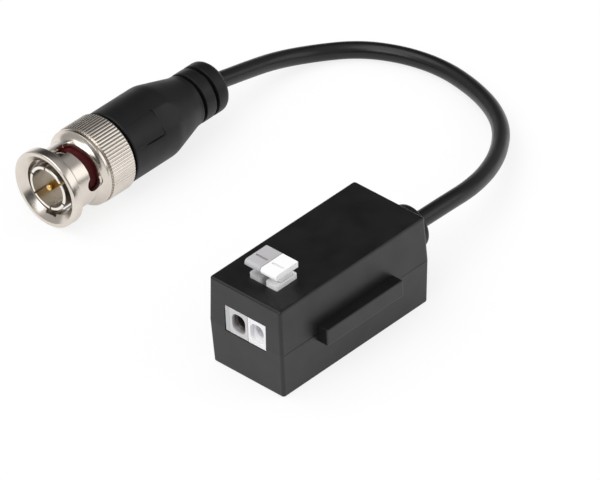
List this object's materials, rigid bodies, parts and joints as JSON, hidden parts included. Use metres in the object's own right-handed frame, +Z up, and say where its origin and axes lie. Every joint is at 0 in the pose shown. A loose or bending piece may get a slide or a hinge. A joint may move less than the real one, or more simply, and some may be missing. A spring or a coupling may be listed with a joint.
{
  "type": "cctv video balun",
  "caption": "Passive video balun: a black moulded box with a push terminal for a wire pair and a short coaxial pigtail that ends in a bayonet plug.",
  "frame": {"origin": "centre of the housing's flat base", "axes": "+Z up, wire entries face -Y, the pigtail leaves the housing along +Y"},
  "size_m": [0.0709, 0.0836, 0.0205],
  "materials": {
    "black_plastic": "satin",
    "grey_plastic": "satin",
    "white_plastic": "satin",
    "board_laminate": "satin",
    "spring_steel": "satin",
    "tinned_metal": "satin",
    "ferrite": "matte",
    "enamelled_copper": "gloss",
    "component_black": "matte",
    "component_tan": "matte",
    "cable_rubber": "satin",
    "boot_rubber": "satin",
    "dielectric": "satin",
    "nickel_plate": "polished",
    "gasket_rubber": "satin",
    "gold_plate": "polished"
  },
  "bodies": {
    "balun": {"upper_shell": "black_plastic", "lower_shell": "black_plastic", "circuit_board": "board_laminate", "grey_terminal_body": "grey_plastic", "white_terminal_body": "white_plastic", "terminal_end_plate": "white_plastic", "grey_clamp_spring": "spring_steel", "white_clamp_spring": "spring_steel", "grey_contact_bar": "tinned_metal", "white_contact_bar": "tinned_metal", "ferrite_core": "ferrite", "line_winding": "enamelled_copper", "coax_winding": "enamelled_copper", "surge_suppressor": "component_black", "chip_resistors": "component_black", "chip_capacitors": "component_tan", "cable_grommet": "boot_rubber", "cable_tail": "cable_rubber", "core_lead": "dielectric", "braid_lead": "tinned_metal", "video_cable": "cable_rubber", "cable_end": "cable_rubber", "plug_boot": "boot_rubber", "crimp_ferrule": "nickel_plate", "plug_body": "nickel_plate", "spring_washer": "spring_steel", "retaining_ring": "spring_steel", "plug_gasket": "gasket_rubber", "plug_insulator": "dielectric", "centre_pin": "gold_plate"},
    "grey_lever": {"grey_lever": "grey_plastic"},
    "white_lever": {"white_lever": "white_plastic"},
    "coupling_nut": {"coupling_nut": "nickel_plate"}
  },
  "joints": [
    {"name": "grey_lever_push", "type": "slide", "parent": "balun", "child": "grey_lever", "axis": [0, 0, -1], "range_m": [0, 0.0012], "stiffness_N_per_m": 2500, "springref_m": -0.0006, "deforming": ["grey_clamp_spring"]},
    {"name": "white_lever_push", "type": "slide", "parent": "balun", "child": "white_lever", "axis": [0, 0, -1], "range_m": [0, 0.0012], "stiffness_N_per_m": 2500, "springref_m": -0.0006, "deforming": ["white_clamp_spring"]},
    {"name": "coupling_nut_turn", "type": "hinge", "parent": "balun", "child": "coupling_nut", "pos_m": [-0.05384, -0.00816, 0.007], "axis": [0, -1, 0], "continuous": true}
  ]
}
